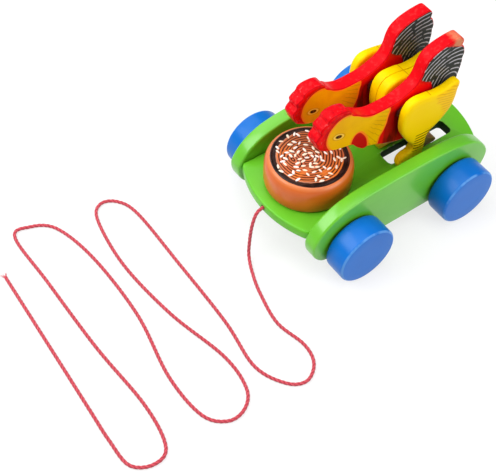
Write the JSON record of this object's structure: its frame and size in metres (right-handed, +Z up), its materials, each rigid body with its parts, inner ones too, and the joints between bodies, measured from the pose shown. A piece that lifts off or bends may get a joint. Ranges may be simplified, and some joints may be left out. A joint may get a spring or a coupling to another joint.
{
  "type": "pull-along hen toy",
  "caption": "Wooden pull-along toy: hens on a wheeled deck peck at a bowl of grain when cams on the rear axle lift their levers; a red cord pulls it.",
  "frame": {"origin": "on the ground, midway between the four wheels and under the middle of the deck", "axes": "+X forward towards the cord, +Y the toy's left side, +Z up"},
  "size_m": [0.3008, 0.1884, 0.1178],
  "materials": {
    "green_paint": "gloss enamel paint on wood",
    "blue_paint": "gloss enamel paint on wood",
    "red_paint": "gloss enamel paint on wood, edges worn",
    "yellow_paint": "gloss enamel paint on wood",
    "bowl_paint": "satin brown paint on turned wood",
    "grain_print": "brown print of grain under varnish",
    "bare_wood": "bare beech, sanded",
    "screw_steel": "plain steel",
    "red_cord": "soft twisted cotton"
  },
  "bodies": {
    "chassis": {"rail_left": "green_paint", "rail_dowel_left_rear": "bare_wood", "rail_dowel_left_front": "bare_wood", "leg_board_outer_left": "yellow_paint", "pivot_washer_outer_left": "bare_wood", "foot_dowel_outer_left_rear": "bare_wood", "foot_dowel_outer_left_front": "bare_wood", "leg_board_inner_left": "yellow_paint", "pivot_washer_inner_left": "bare_wood", "foot_dowel_inner_left_rear": "bare_wood", "foot_dowel_inner_left_front": "bare_wood", "rail_right": "green_paint", "rail_dowel_right_rear": "bare_wood", "rail_dowel_right_front": "bare_wood", "leg_board_outer_right": "yellow_paint", "pivot_washer_outer_right": "bare_wood", "foot_dowel_outer_right_rear": "bare_wood", "foot_dowel_outer_right_front": "bare_wood", "leg_board_inner_right": "yellow_paint", "pivot_washer_inner_right": "bare_wood", "foot_dowel_inner_right_rear": "bare_wood", "foot_dowel_inner_right_front": "bare_wood", "deck": "green_paint", "pivot_pin": "bare_wood", "bowl": "bowl_paint", "grain_disc": "grain_print", "bowl_screw": "screw_steel", "cord": "red_cord", "cord_knot": "red_cord"},
    "front_wheelset": {"axle_front": "bare_wood", "wheel_front_left": "blue_paint", "wheel_front_right": "blue_paint"},
    "rear_wheelset": {"axle_rear": "bare_wood", "wheel_rear_left": "blue_paint", "wheel_rear_right": "blue_paint", "cam_left": "bare_wood", "cam_right": "bare_wood"},
    "hen_left": {"hen_left": "red_paint"},
    "hen_right": {"hen_right": "red_paint"}
  },
  "joints": [
    {"name": "front_axle_spin", "type": "hinge", "parent": "chassis", "child": "front_wheelset", "pos_m": [0.04, 0, 0.02], "axis": [0, 1, 0], "continuous": true},
    {"name": "rear_axle_spin", "type": "hinge", "parent": "chassis", "child": "rear_wheelset", "pos_m": [-0.04, 0, 0.02], "axis": [0, 1, 0], "continuous": true},
    {"name": "hen_left_peck", "type": "hinge", "parent": "chassis", "child": "hen_left", "pos_m": [-0.0105, 0.01325, 0.0792], "axis": [0, 1, 0], "range_deg": [0, 23]},
    {"name": "hen_right_peck", "type": "hinge", "parent": "chassis", "child": "hen_right", "pos_m": [-0.0105, -0.01325, 0.0792], "axis": [0, 1, 0], "range_deg": [0, 20.8]}
  ]
}
